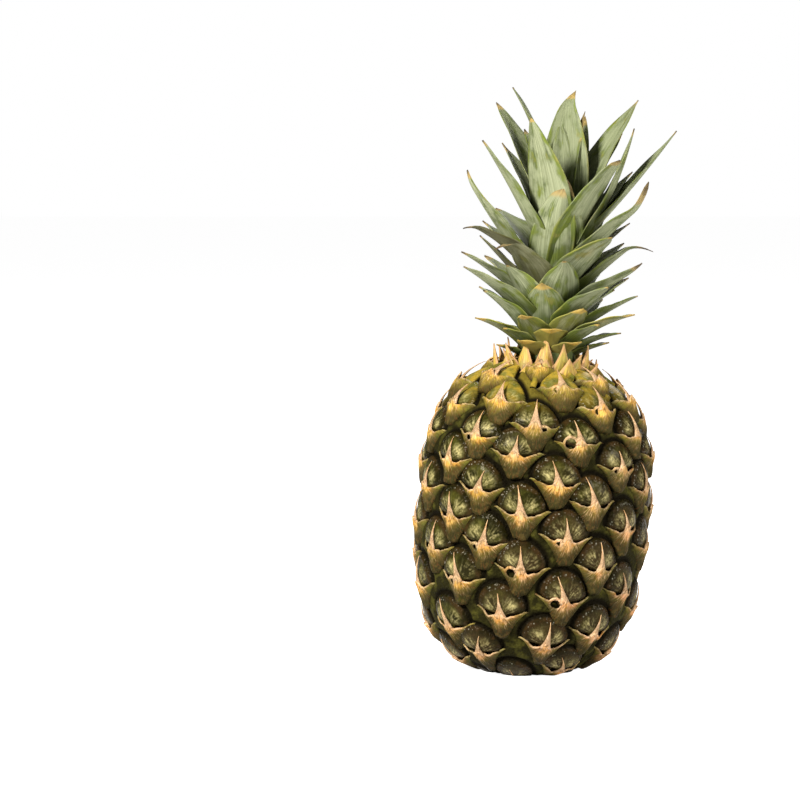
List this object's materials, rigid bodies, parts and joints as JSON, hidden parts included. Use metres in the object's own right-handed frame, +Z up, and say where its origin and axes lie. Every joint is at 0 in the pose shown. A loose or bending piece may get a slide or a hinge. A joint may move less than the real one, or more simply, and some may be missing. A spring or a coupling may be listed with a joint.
{
  "type": "pineapple",
  "caption": "Whole upright pineapple with spiral rows of raised eyes and a leafy crown, standing on the flat cut under its fruit.",
  "frame": {"origin": "middle of the box round the whole plant, on the surface that it stands on", "axes": "+Z up, -Y to the front that the picture shows, +X to the right of that view"},
  "size_m": [0.1334, 0.1204, 0.2959],
  "materials": {
    "rind": "waxy ridged rind, green to yellow eyes with tan dry bracts",
    "stalk": "dry cut plant fibre",
    "leaf": "satin grey-green blades with a waxy bloom and brown dry tips"
  },
  "bodies": {
    "root": {"fruit": "rind", "cut_stalk": "stalk", "crown": "leaf"}
  },
  "joints": []
}
